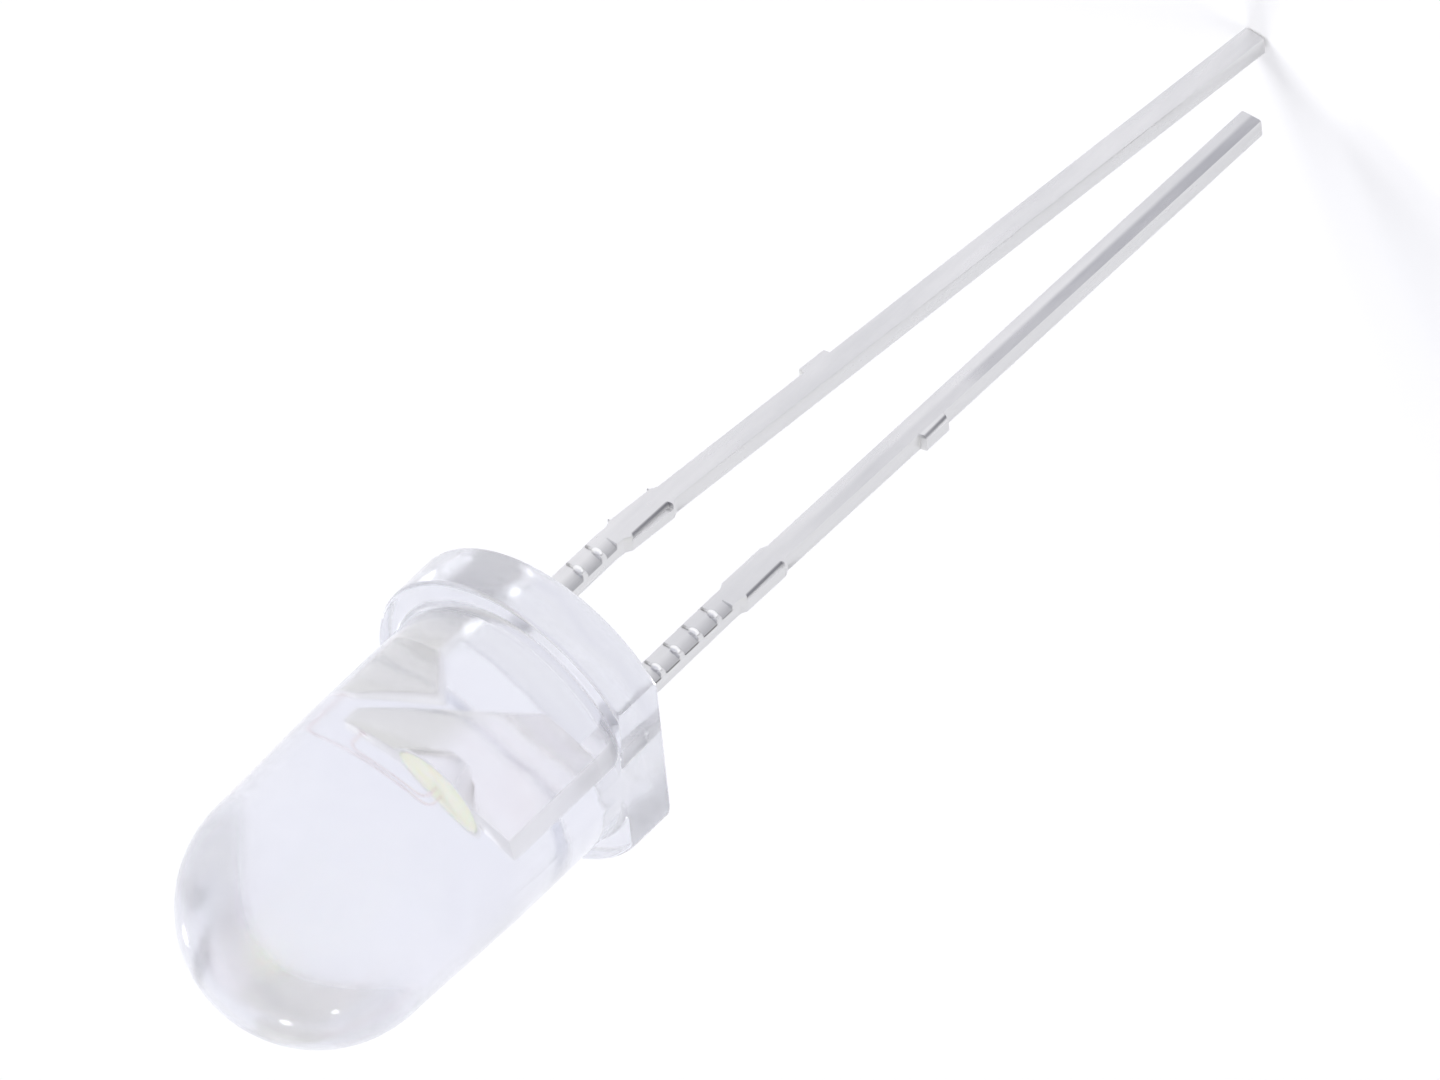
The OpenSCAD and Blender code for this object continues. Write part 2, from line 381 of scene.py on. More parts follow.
class Mottle:
    """A shader node group of soft uneven patches, stretched along one axis and held between two values."""

    NAME = "mottle"
    FINER_SHARE = 0.6
    CONTRAST = (0.3, 0.7)

    @classmethod
    def group(cls) -> Tree:
        """Builds the group once.

        Returns:
            The node group, with inputs Scale, Stretch, Low, High and Detail and output Value.
        """
        found = bpy.data.node_groups.get(cls.NAME)
        if found is not None:
            return found
        takes = {"Scale": "Float", "Stretch": "Vector", "Low": "Float", "High": "Float", "Detail": "Float"}
        tree, start, end = new_group(cls.NAME, "ShaderNodeTree", takes, {"Value": "Float"})
        given = start.outputs
        place = add_node(tree, "ShaderNodeTexCoord").outputs["Object"]
        inputs = {0: place, 1: given["Stretch"]}
        spread = add_node(tree, "ShaderNodeVectorMath", inputs, operation="MULTIPLY")
        noise = add_node(tree, "ShaderNodeTexNoise", {
            "Vector": spread.outputs[0], "Scale": given["Scale"], "Detail": given["Detail"],
            "Roughness": cls.FINER_SHARE}, noise_dimensions="3D")
        held = ramp(tree, noise.outputs["Fac"], *cls.CONTRAST, given["Low"], given["High"])
        feed(end.inputs["Value"], held)
        return tree

    @classmethod
    def place(cls, tree: Tree, scale: float, stretch: Colour, low: float = 0.0, high: float = 1.0,
              detail: float = 5.0) -> Socket:
        """The patches in a material: how many per metre, their stretch, values and finer layers."""
        inputs = {"Scale": scale, "Stretch": stretch, "Low": low, "High": high, "Detail": detail}
        return add_node(tree, "ShaderNodeGroup", inputs, node_tree=cls.group()).outputs["Value"]


@dataclass(frozen=True)
class Finish:
    """What every finish has: two colours that its patches run between, patchy roughness and fine grain."""

    name: str
    colour: Colour
    patch: Colour
    patch_scale: float = 900.0
    stretch: Colour = EVEN
    rough: tuple[float, float] = (0.3, 0.45)
    rough_finer: float = 1.7
    grain_scale: float = 9000.0
    grain: float = 0.1
    grain_deep: float = 0.004 * MM
    metallic: float = 0.0
    ior: float = 1.5

    def build(self) -> Material:
        """Makes the material.

        Returns:
            The material.
        """
        material = new_material(self.name)
        tree = material.node_tree
        patches = Mottle.place(tree, self.patch_scale, self.stretch)
        grain = Mottle.place(tree, self.grain_scale, self.stretch)
        inputs = {"Strength": self.grain, "Distance": self.grain_deep, "Height": grain}
        bump = add_node(tree, "ShaderNodeBump", inputs)
        skin = add_node(tree, "ShaderNodeBsdfPrincipled", {
            "Metallic": self.metallic,
            "IOR": self.ior,
            "Base Color": over(tree, patches, self.colour, self.patch),
            "Roughness": Mottle.place(tree, self.patch_scale * self.rough_finer, self.stretch, *self.rough),
            "Normal": bump.outputs["Normal"],
        })
        add_node(tree, "ShaderNodeOutputMaterial", {"Surface": self.work(tree, skin).outputs[0]})
        return material

    def work(self, tree: Tree, skin: Node) -> Node:
        """Adds what a kind of finish has beyond this, and returns the shader to show: here nothing more."""
        return skin


@dataclass(frozen=True)
class ClearFinish(Finish):
    """Clear cast epoxy: light from the lamps passes it to the frame inside. Low down it has a ripple."""

    shadow: Colour = (0.93, 0.93, 0.97)
    ripple: float = 0.9
    ripple_scale: float = 900.0
    ripple_stretch: Colour = (1.0, 1.0, 1.4)
    ripple_deep: float = 0.02 * MM
    ripple_top: float = 1.35 * MM
    ripple_fade: tuple[float, float] = (1.3, 0.7)

    def work(self, tree: Tree, skin: Node) -> Node:
        """Makes the epoxy clear and ripples it.

        Args:
            tree: the material's node tree.
            skin: its Principled node.

        Returns:
            The shader to show.
        """
        feed(skin.inputs["Transmission Weight"], 1.0)
        ends = [self.ripple_top * share for share in self.ripple_fade]
        waves = add_node(tree, "ShaderNodeBump", {
            "Strength": ramp(tree, axes(tree, "Object").outputs["Z"], *ends, 0.0, self.ripple),
            "Distance": self.ripple_deep,
            "Height": Mottle.place(tree, self.ripple_scale, self.ripple_stretch, detail=0.0),
            "Normal": skin.inputs["Normal"].links[0].from_socket,
        })
        feed(skin.inputs["Normal"], waves.outputs["Normal"])
        path = add_node(tree, "ShaderNodeLightPath")
        through = add_node(tree, "ShaderNodeBsdfTransparent", {"Color": self.shadow})
        return mix_shaders(tree, path.outputs["Is Shadow Ray"], skin, through)


@dataclass(frozen=True)
class PlatedFinish(Finish):
    """Plated sheet: rolled faces, duller sheared edges, lighter plating inside the lens, unplated torn
    places, and painted shade, highlights and a dark reflection.
    """

    sheared: Colour = (0.72, 0.72, 0.72)
    # Painted highlight on the beads of the ribs
    painted_bead_highlight: Colour = (0.98, 0.98, 0.98)
    # Colour of the stripe of painted dark reflection
    line: Colour = (0.45, 0.45, 0.475)
    inside: Colour = (1.0, 0.99, 0.98)
    inside_patch: Colour = (0.99, 0.96, 0.95)
    inside_scale: float = 900.0
    # Painted shade: the plating inside the lens turns darker and yellower toward the post
    inside_painted_shade: Colour = (0.87, 0.86, 0.81)
    inside_sheared: Colour = (1.0, 0.99, 0.97)
    inside_rough: float = 0.16
    inside_sheared_rough: float = 0.38
    inside_grain: float = 0.08
    # Colour of the unplated torn metal, and of the painted shade in the pockets between the ribs
    bare_and_painted_light: Colour = (0.27, 0.27, 0.29)
    bare_rough: float = 0.55
    # How far a face looks along Y where it starts to count as a sheared edge, and where it is one
    edge_facing: tuple[float, float] = (0.85, 0.45)
    # Height by which the plating is all as inside the lens, and X toward the post by which its painted shade
    # is full
    inside_by: float = 1.2 * MM
    painted_shade_by: float = -0.5 * MM
    # The stripe of painted dark reflection: its two sides across the leg, and where along it it sets in
    # faintly and fully
    stripe_sides: tuple[Point, Point] = ((-0.05, 0.06), (0.24, 0.2))
    stripe_faint: Point = (4.6, 6.0)
    stripe_faint_share: float = 0.3
    stripe_full: Point = (9.0, 10.2)
    stripe_scale: float = 1500.0
    stripe_stretch: Colour = (1.0, 1.0, 0.3)
    stripe_patches: tuple[float, float] = (0.7, 1.0)

    def work(self, tree: Tree, skin: Node) -> Node:
        """Adds the sheared edges, the stripe of painted dark reflection, the plating inside the lens with
        painted shade toward the post, the torn places, painted shade in the pockets and a painted highlight
        on the beads.

        Args:
            tree: the material's node tree.
            skin: its Principled node.

        Returns:
            The shader to show.
        """
        patchy, rough = (skin.inputs[name].links[0].from_socket for name in ("Base Color", "Roughness"))
        bump = skin.inputs["Normal"].links[0].from_node
        facing = calculate(tree, "ABSOLUTE", axes(tree, "Normal").outputs["Y"])
        edge = ramp(tree, facing, *self.edge_facing, smooth=False)
        # Painted dark reflection: the stripe along the ribbed face
        lined = over(tree, self.stripe(tree), patchy, self.line)
        outer = over(tree, edge, lined, self.sheared)
        place = axes(tree, "Object").outputs
        clouds = Mottle.place(tree, self.inside_scale, EVEN)
        even = over(tree, clouds, self.inside, self.inside_patch)
        # Painted shade toward the post
        sheet = over(tree, ramp(tree, place["X"], 0.0, self.painted_shade_by), even, self.inside_painted_shade)
        inner = over(tree, edge, sheet, self.inside_sheared)
        cast = ramp(tree, place["Z"], 0.0, self.inside_by, smooth=False)
        plated = over(tree, cast, outer, inner)
        grain = ramp(tree, cast, 0.0, 1.0, self.grain, self.inside_grain, smooth=False)
        feed(bump.inputs["Strength"], grain)
        inner_rough = ramp(tree, edge, 0.0, 1.0, self.inside_rough, self.inside_sheared_rough, smooth=False)
        gloss = over(tree, cast, rough, inner_rough, colours=False)
        # These values draw the torn places unplated and dark, paint shade into the pockets and paint a
        # highlight on the beads
        torn = carried(tree, BARE_AND_PAINTED_LIGHT)
        # Painted highlight where the value is negative, on the beads
        with_bead_highlight = over(tree, calculate(tree, "MULTIPLY", torn, -1.0, clamp=True), plated, self.painted_bead_highlight)
        feed(skin.inputs["Base Color"], over(tree, torn, with_bead_highlight, self.bare_and_painted_light))
        feed(skin.inputs["Roughness"], over(tree, torn, gloss, self.bare_rough, colours=False))
        return skin

    def stripe(self, tree: Tree) -> Socket:
        """The mask of the stripe of painted dark reflection along the ribbed face, faint above the stub and
        full below it.

        Args:
            tree: the node tree.

        Returns:
            The mask.
        """
        across = carried(tree, ACROSS)
        along = carried(tree, ALONG)
        parts = [ramp(tree, across, *ends) for ends in self.stripe_sides]
        parts.append(Mottle.place(tree, self.stripe_scale, self.stripe_stretch, *self.stripe_patches))
        faint = ramp(tree, along, *self.stripe_faint, 0.0, self.stripe_faint_share)
        mask = calculate(tree, "MAXIMUM", ramp(tree, along, *self.stripe_full), faint)
        for part in parts:
            mask = calculate(tree, "MULTIPLY", mask, part)
        return mask


@dataclass(frozen=True)
class ResinFinish(Finish):
    """Cloudy resin that light soaks into."""

    soak: float = 0.3
    soak_radius: float = 0.08 * MM

    def work(self, tree: Tree, skin: Node) -> Node:
        """Lets light soak in, and returns the shader to show."""
        feed(skin.inputs["Subsurface Weight"], self.soak)
        feed(skin.inputs["Subsurface Scale"], self.soak_radius)
        return skin


# Painted shade: the epoxy's lavender grey tint stands for a shaded surface seen through the lens
EPOXY = ClearFinish("clear_epoxy", (0.80, 0.81, 0.877), (0.85, 0.86, 0.905), patch_scale=350.0,
                    rough=(0.1, 0.16), grain_scale=500.0, grain=0.25, ior=1.52)
TIN = PlatedFinish("tinned_steel", (0.785, 0.78, 0.785), (0.68, 0.68, 0.69), patch_scale=1300.0,
                   stretch=(1.0, 1.0, 0.18), rough=(0.24, 0.36), grain_scale=7000.0, grain=0.16,
                   grain_deep=0.006 * MM, metallic=1.0)
PHOSPHOR = ResinFinish("phosphor_resin", (0.86, 0.865, 0.65), (0.88, 0.885, 0.77), patch_scale=2600.0,
                       rough=(0.35, 0.5), grain_scale=20000.0, grain=0.3, grain_deep=0.003 * MM)
GOLD = Finish("bond_gold", (0.98, 0.91, 0.90), (0.95, 0.85, 0.84), patch_scale=9000.0, rough=(0.15, 0.25),
              grain_scale=30000.0, metallic=1.0)
PASTE = Finish("die_attach_paste", (0.80, 0.80, 0.78), (0.68, 0.68, 0.66), patch_scale=12000.0,
               rough=(0.45, 0.6), grain_scale=40000.0, grain=0.4)
CRYSTAL = Finish("chip_crystal", (0.36, 0.46, 0.56), (0.46, 0.56, 0.66), patch_scale=8000.0,
                 rough=(0.05, 0.12), grain_scale=30000.0, ior=1.77)


# The lens


@dataclass
class Lens:
    """The moulded body: flange with its flat, barrel and dome. Sizes in millimetres."""

    height: float = 8.65
    barrel_d: float = 4.96
    straight: float = 2.4
    dome_d: float = 4.82
    flange_d: float = 5.9
    flange_h: float = 1.03
    flat_at: float = 2.47
    edge: float = 0.08
    fillet: float = 0.16
    sharp: float = 25.0
    underside_rings: tuple[float, ...] = (0.0, 0.8, 1.6, 2.3)
    round_steps: int = 6
    wall_steps: int = 4
    taper_steps: int = 14
    dome_steps: int = 72
    flat_meridians: int = 96
    meridians: int = 480

    def outline(self) -> list[Point]:
        """The profile from the middle of the underside to the top of the dome.

        Returns:
            Radius and height of each point.
        """
        rim = self.flange_d / 2
        wall = self.barrel_d / 2
        dome = self.dome_d / 2
        edge = self.edge
        foot = self.flange_h + self.fillet
        points = [(radius, 0.0) for radius in self.underside_rings]
        points += arc((rim - edge, edge), edge, -90, 0, self.round_steps)
        points += arc((rim - edge, self.flange_h - edge), edge, 0, 90, self.round_steps)
        points += arc((wall + self.fillet, foot), self.fillet, 270, 180, self.round_steps)
        top = self.flange_h + self.straight
        steps = self.wall_steps
        points += [(wall, foot + (top - foot) * i / steps) for i in range(1, steps + 1)]
        middle = self.height - dome
        for i in range(1, self.taper_steps):
            t = i / self.taper_steps
            points.append((wall + (dome - wall) * t * t * (3 - 2 * t), top + (middle - top) * t))
        points += arc((0.0, middle), dome, 0, 90, self.dome_steps)[:-1]
        points.append((0.0, self.height))
        return points

    def angles(self) -> list[float]:
        """The meridians, with one at each end of the flat."""
        turn = math.acos(self.flat_at / (self.flange_d / 2))
        near = self.flat_meridians
        far = self.meridians - near
        across = [-turn + 2 * turn * i / near for i in range(near)]
        return across + [turn + (2 * math.pi - 2 * turn) * i / far for i in range(far)]

    def build(self) -> Piece:
        """Makes the lens.

        Returns:
            The finished piece.
        """
        bm = bmesh.new()
        for vert in revolve(bm, self.outline(), self.angles()):
            vert.co.x = min(vert.co.x, self.flat_at)
        piece = new_object("epoxy_lens", mesh_from(bm, "epoxy_lens", self.sharp))
        piece.data.materials.append(EPOXY.build())
        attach(piece, BODY)
        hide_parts("lens")
        return piece


# The leads


@dataclass
class Section:
    """One cross section of a lead: how far it reaches to each side, and what is pressed into it."""

    at: float
    left: float
    right: float
    sunk: float = 0.0
    tear: float = 0.0
    shrink: float = 0.0


@dataclass
class Lead:
    """A stamped lead from its root in the lens to its cut tip. Sizes in millimetres."""

    side: Side
    length: float
    lean: float
    width: float = 0.45
    thickness: float = 0.38
    pitch: float = 2.54
    corner: float = 0.045
    step: float = 0.03
    bend_at: float = 3.1
    bend_ease: float = 0.22
    stopper_at: float = 0.2
    stopper_len: float = 1.25
    stopper_out: float = 0.06
    stopper_slope: float = 0.12
    tear_deep: float = 0.04
    tear_h: float = 0.1
    tear_rise: tuple[float, ...] = (0.5, 0.6, 1.2, 1.2)
    burr: float = 0.045
    stub_at: float = 5.0
    stub_len: float = 0.65
    stub_out: float = 0.12
    ribs: int = 6
    rib_first: float = 0.22
    rib_pitch: float = 0.507
    rib_r: float = 0.03
    bead_r: float = 0.08
    bead_long: float = 1.4
    bead_flat: float = 0.8
    web: float = 0.1
    pocket_w: float = 0.23
    pocket_deep: float = 0.06
    # Painted shade in the pockets, darker toward the edge of the face
    pocket_painted_shade: float = 0.6
    root: float = 1.1
    frame_edge: float = 0.03
    # Width of the narrow faces that end a torn strip and a pocket, and a length too small to see
    nick: float = 0.01
    hair: float = 0.001

    def plain(self, at: float, **pressed: float) -> Section:
        """A cross section as wide as the strip, with what is pressed into it."""
        return Section(at, self.width / 2, self.width / 2, **pressed)

    def sections(self) -> list[Section]:
        """The cross sections in order from the root to the tip.

        Returns:
            The sections, at their distances below the flange.
        """
        half = self.width / 2
        step = self.step
        plain = self.plain
        row = [plain(-self.root - 2 * step, shrink=0.02), plain(-self.root), plain(0.0)]
        row += [plain(self.rib_first + self.web / 2)]
        for i in range(self.ribs):
            start = self.rib_first + i * self.rib_pitch + self.web / 2
            end = min(start + self.rib_pitch - self.web, self.bend_at + 0.02)
            row += [plain(start + step, sunk=self.pocket_deep), plain(end - step, sunk=self.pocket_deep)]
            row += [plain(end)]
            if i < self.ribs - 1:
                row += [plain(end + self.web)]
        start = self.bend_at + self.stopper_at
        end = start + self.stopper_len
        slope = self.stopper_slope
        wide = half + self.stopper_out
        burr = wide + self.burr * (self.side is Side.ANODE)
        row += [plain(start - 0.05), plain(start), Section(start + slope, wide, wide)]
        torn = (start + slope + step, start + slope + 2 * step, end - slope - 2 * step, end - slope - step)
        for at, left, rise in zip(torn, (burr, wide, wide, burr), self.tear_rise):
            row += [Section(at, left, wide, tear=self.tear_deep * rise)]
        row += [Section(end - slope, wide, wide), plain(end), plain(end + 0.4)]
        stub = self.bend_at + self.stub_at
        right = half + self.stub_out * (self.side is Side.CATHODE)
        left = half + self.stub_out * (self.side is Side.ANODE)
        tear = self.tear_deep * (self.side is Side.CATHODE)
        row += [plain(stub), Section(stub + step, left, right, tear=tear * 0.4)]
        row += [Section(stub + self.stub_len - step, left, right, tear=tear)]
        row += [plain(stub + self.stub_len)]
        rest = self.length - stub - self.stub_len
        row += [plain(stub + self.stub_len + rest * i / 4) for i in range(1, 4)]
        row += [plain(self.length - step), plain(self.length, shrink=step)]
        return row

    def loop(self, section: Section) -> list[Point]:
        """The outline of a cross section, with the same points in each.

        Args:
            section: the section.

        Returns:
            Its points across the lead, along X and Y.
        """
        r = self.corner
        low = -self.thickness / 2 + section.shrink
        high = -low
        left = -section.left + section.shrink
        right = section.right - section.shrink
        torn = high - self.tear_h
        points = arc((left + r, low + r), r, 180, 270, 2) + arc((right - r, low + r), r, 270, 360, 2)
        points += [(right, torn), (right - section.tear, torn + self.nick)]
        points += arc((right - section.tear - r, high - r), r, 0, 90, 2)
        start = self.width / 2 - self.pocket_w
        points += [(start, high), (start - self.nick, high)]
        points += arc((left + r, high - r), r, 90, 180, 2)
        slope = section.sunk / self.pocket_w
        above = torn + self.nick + self.hair
        return [(x, y - slope * max(0.0, x - start) * (y > above)) for x, y in points]

    def bareness_and_painted_shade(self, section: Section, x: float, y: float) -> float:
        """How unplated a point on the leg is at a tear, and how much painted shade it has in a pocket.

        Args:
            section: its cross section.
            x: its place across the lead.
            y: its place through the sheet.

        Returns:
            A value from 0 to 1.
        """
        high = self.thickness / 2
        inner = section.right - section.tear - self.corner * 0.4
        if section.tear and x > inner and y > high - self.corner - self.hair:
            return min(1.0, 2.0 * section.tear / self.tear_deep)
        if section.left > section.right and section.tear and x < -section.right:
            return 1.0
        start = self.width / 2 - self.pocket_w
        # Painted shade in a pocket, darker toward the edge of the face
        if section.sunk and x > start and y > high - self.tear_h:
            return self.pocket_painted_shade * (x - start) / self.pocket_w
        return 0.0

    def place(self, at: float) -> tuple[Vector, Vector]:
        """Where the lead's middle line is, and the direction across it.

        Args:
            at: distance below the flange.

        Returns:
            The middle point and the unit vector across the lead.
        """
        root = self.side.value * self.pitch / 2
        ease = self.bend_ease
        full = math.radians(self.lean)
        turn = full * min(max((at - self.bend_at + ease) / (2 * ease), 0.0), 1.0)
        beyond = max(at - self.bend_at, 0.0)
        down = min(at, self.bend_at) + beyond * math.cos(full)
        middle = Vector((root + beyond * math.sin(full), 0.0, -down))
        return middle, Vector((math.cos(turn), 0.0, math.sin(turn)))

    def leg(self, bm: Shape) -> None:
        """Adds the lofted leg.

        Args:
            bm: the shape to add to.
        """
        bare_and_shade_layer, across_at, along_at = (bm.verts.layers.float.new(name) for name in (BARE_AND_PAINTED_LIGHT, ACROSS, ALONG))
        lined = self.side is Side.CATHODE
        rings = []
        for section in self.sections():
            middle, across = self.place(section.at)
            ring = []
            for x, y in self.loop(section):
                vert = bm.verts.new(middle + across * x + Vector((0.0, y, 0.0)))
                vert[bare_and_shade_layer] = self.bareness_and_painted_shade(section, x, y)
                vert[across_at] = x if lined else -1.0
                vert[along_at] = section.at
                ring.append(vert)
            rings.append(ring)
        count = len(rings[0])
        for high, low in zip(rings, rings[1:]):
            for i in range(count):
                j = (i + 1) % count
                bm.faces.new((high[i], high[j], low[j], low[i]))
        bm.faces.new(rings[0])
        bm.faces.new(rings[-1][::-1])

    def frame(self, bm: Shape) -> None:
        """Adds what the lead carries inside the lens. Each lead has its own."""
        raise NotImplementedError

    def build(self, name: str, node: str, metal: Material) -> Piece:
        """Makes the lead with its ribs.

        Args:
            name: the piece's name.
            node: the CAD node that it stands for.
            metal: its material.

        Returns:
            The finished piece.
        """
        bm = bmesh.new()
        self.leg(bm)
        self.frame(bm)
        piece = new_object(name, mesh_from(bm, name))
        piece.data.materials.append(metal)
        RibRow(self, metal).press_into(piece)
        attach(piece, BODY)
        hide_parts(node)
        return piece


@dataclass
class Cup:
    """The reflector cup in the anvil's top. Sizes in millimetres."""

    mouth_d: float = 1.12
    floor_d: float = 0.64
    deep: float = 0.38
    wall: float = 0.08
    base: float = 0.22
    lip: float = 0.02
    proud: float = 0.004

    def outline(self, top: float) -> list[Point]:
        """The shell's profile, from the axis below it round to the axis on its floor.

        Args:
            top: height of the cup's mouth.

        Returns:
            Radius and height of each point.
        """
        mouth = self.mouth_d / 2
        slope = (self.mouth_d - self.floor_d) / 2 / self.deep
        outer = mouth + self.wall
        under = top - self.deep - self.base
        narrow = outer - slope * (self.deep + self.base)
        lip = self.lip
        points = [(0.0, under), (narrow - lip, under), (narrow, under + lip), (outer - lip / 2, top - lip)]
        points += [(outer - lip, top + self.proud), (mouth + lip / 2, top + self.proud)]
        points += [(mouth, top - lip / 2), (self.floor_d / 2, top - self.deep), (0.0, top - self.deep)]
        return points


@dataclass
class CathodeLead(Lead):
    """The shorter lead, with the anvil and its cup."""

    side: Side = Side.CATHODE
    length: float = 17.4
    lean: float = 1.1
    top: float = 3.45
    reach: float = 1.2
    lip: float = 0.35
    waist: float = 0.35
    foot: float = 1.1
    bed: float = 0.02
    cup: Cup = field(default_factory=Cup)

    def frame(self, bm: Shape) -> None:
        """Adds the anvil, notched for its cup, and the cup.

        Args:
            bm: the shape to add to.
        """
        top = self.top
        outer = self.pitch / 2 + self.width / 2
        mouth = self.cup.mouth_d / 2 + self.cup.wall / 2
        floor = self.cup.floor_d / 2 + self.cup.wall / 2
        bed = top - self.cup.deep - self.bed
        outline = [(self.waist, self.foot), (outer, self.foot), (outer, top), (mouth, top), (floor, bed)]
        outline += [(-floor, bed), (-mouth, top), (-self.reach, top), (-self.reach, top - self.lip)]
        plate(bm, outline, self.thickness, self.frame_edge)
        revolve(bm, self.cup.outline(top), even_angles(CUP_SEGMENTS))


@dataclass
class AnodeLead(Lead):
    """The longer lead, with the post that takes the bond wire."""

    side: Side = Side.ANODE
    length: float = 19.1
    lean: float = 5.8
    head: float = 0.18
    gap: float = 0.25
    wing_foot: float = 1.3
    wing_reach: float = 0.78
    root: float = 1.3
    tear_deep: float = 0.06
    tear_h: float = 0.14
    tear_rise: tuple[float, ...] = (0.15, 0.45, 1.6, 1.4)
    anvil: CathodeLead = field(default_factory=CathodeLead)

    def frame(self, bm: Shape) -> None:
        """Adds the post and its wing, whose upper edge runs along the anvil's slanted edge.

        Args:
            bm: the shape to add to.
        """
        outer = -self.pitch / 2 - self.width / 2
        high = Vector((-self.anvil.reach, self.anvil.top - self.anvil.lip))
        low = Vector((self.anvil.waist, self.anvil.foot))
        slant = (low - high).normalized()
        line = high + self.gap * Vector((slant.y, -slant.x))
        fall = slant.y / slant.x
        tip = outer + self.wing_reach
        inner = outer + self.head
        top = line.y + (inner - line.x) * fall
        outline = [(outer, self.wing_foot), (outer + self.width, self.wing_foot)]
        outline += [(tip, line.y + (tip - line.x) * fall), (inner, top), (outer, top)]
        plate(bm, outline, self.thickness, self.frame_edge)


@dataclass
class RibRow:
    """The row of ribs with beads that stands on the face of a lead, made by Geometry Nodes."""

    lead: Lead
    metal: Material
    name: str = "rib_row"
    rod_sides: int = 16
    bead_segments: int = 20
    bead_rings: int = 12

    def tree(self) -> Tree:
        """Builds the tree once: a line of ribs added to the lead's mesh.

        Returns:
            The geometry node tree.
        """
        found = bpy.data.node_groups.get(self.name)
        if found is not None:
            return found
        takes = {"Lead": "Geometry", "Count": "Int"}
        takes |= dict.fromkeys(("Rib Radius", "Rib Length", "Bead Radius", "Bead Shift"), "Float")
        takes |= dict.fromkeys(("First", "Step", "Bead Shape"), "Vector")
        takes |= {"Metal": "Material"}
        tree, start, end = new_group(self.name, "GeometryNodeTree", takes, {"Lead": "Geometry"})
        given = start.outputs
        rod = add_node(tree, "GeometryNodeMeshCylinder", {
            "Vertices": self.rod_sides, "Radius": given["Rib Radius"], "Depth": given["Rib Length"]})
        lie = add_node(tree, "GeometryNodeTransform", {
            "Geometry": rod.outputs["Mesh"], "Rotation": (0.0, math.pi / 2, 0.0)})
        bead = add_node(tree, "GeometryNodeMeshUVSphere", {
            "Segments": self.bead_segments, "Rings": self.bead_rings, "Radius": given["Bead Radius"]})
        # Beads carry a negative value, which paints a highlight on them
        inputs = {"Geometry": bead.outputs["Mesh"], "Name": BARE_AND_PAINTED_LIGHT, "Value": -1.0}
        with_bead_highlight = add_node(tree, "GeometryNodeStoreNamedAttribute", inputs, data_type="FLOAT", domain="POINT")
        aside = add_node(tree, "ShaderNodeCombineXYZ", {"X": given["Bead Shift"]})
        move = add_node(tree, "GeometryNodeTransform", {
            "Geometry": with_bead_highlight.outputs["Geometry"], "Translation": aside.outputs[0],
            "Scale": given["Bead Shape"]})
        rib = join(tree, lie.outputs[0], move.outputs[0])
        smooth = add_node(tree, "GeometryNodeSetShadeSmooth", {"Geometry": rib})
        inputs = {"Count": given["Count"], "Start Location": given["First"], "Offset": given["Step"]}
        line = add_node(tree, "GeometryNodeMeshLine", inputs, mode="OFFSET")
        copies = add_node(tree, "GeometryNodeInstanceOnPoints", {
            "Points": line.outputs["Mesh"], "Instance": smooth.outputs[0]})
        end_tree(tree, join(tree, given["Lead"], copies.outputs[0]), given["Metal"], end)
        return tree

    def press_into(self, piece: Piece) -> None:
        """Adds the ribs to a lead and turns the result into a plain mesh.

        Args:
            piece: the lead's object.
        """
        lead = self.lead
        face = lead.width - 2 * lead.corner
        bake_nodes(piece, self.tree(), {
            "Count": lead.ribs,
            "Rib Radius": lead.rib_r * MM,
            "Rib Length": face * MM,
            "Bead Radius": lead.bead_r * MM,
            "Bead Shift": (face / 2 - lead.bead_r * lead.bead_long) * MM,
            "Bead Shape": (lead.bead_long, 1.0, lead.bead_flat),
            "First": (lead.side.value * lead.pitch / 2 * MM, lead.thickness / 2 * MM, -lead.rib_first * MM),
            "Step": (0.0, 0.0, -lead.rib_pitch * MM),
            "Metal": self.metal,
        })


# What stands in the cup


@dataclass
class Phosphor:
    """The resin that fills the cup and swells a little above its mouth. Sizes in millimetres."""

    top: float = 3.45
    rise: float = 0.06
    off_floor: float = 0.002
    swell_steps: int = 12
    cup: Cup = field(default_factory=Cup)

    def build(self) -> Piece:
        """Makes the phosphor.

        Returns:
            The finished piece.
        """
        mouth = self.cup.mouth_d / 2
        swell = (mouth * mouth + self.rise * self.rise) / (2 * self.rise)
        half = math.degrees(math.asin(mouth / swell))
        floor = self.top - self.cup.deep + self.off_floor
        outline = [(0.0, floor), (self.cup.floor_d / 2, floor)]
        outline += arc((0.0, self.top + self.rise - swell), swell, 90 - half, 90, self.swell_steps)[:-1]
        outline.append((0.0, self.top + self.rise))
        bm = bmesh.new()
        revolve(bm, outline, even_angles(CUP_SEGMENTS))
        piece = new_object("cup_phosphor", mesh_from(bm, "cup_phosphor"))
        piece.data.materials.append(PHOSPHOR.build())
        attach(piece, BODY)
        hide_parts("phosphor")
        return piece


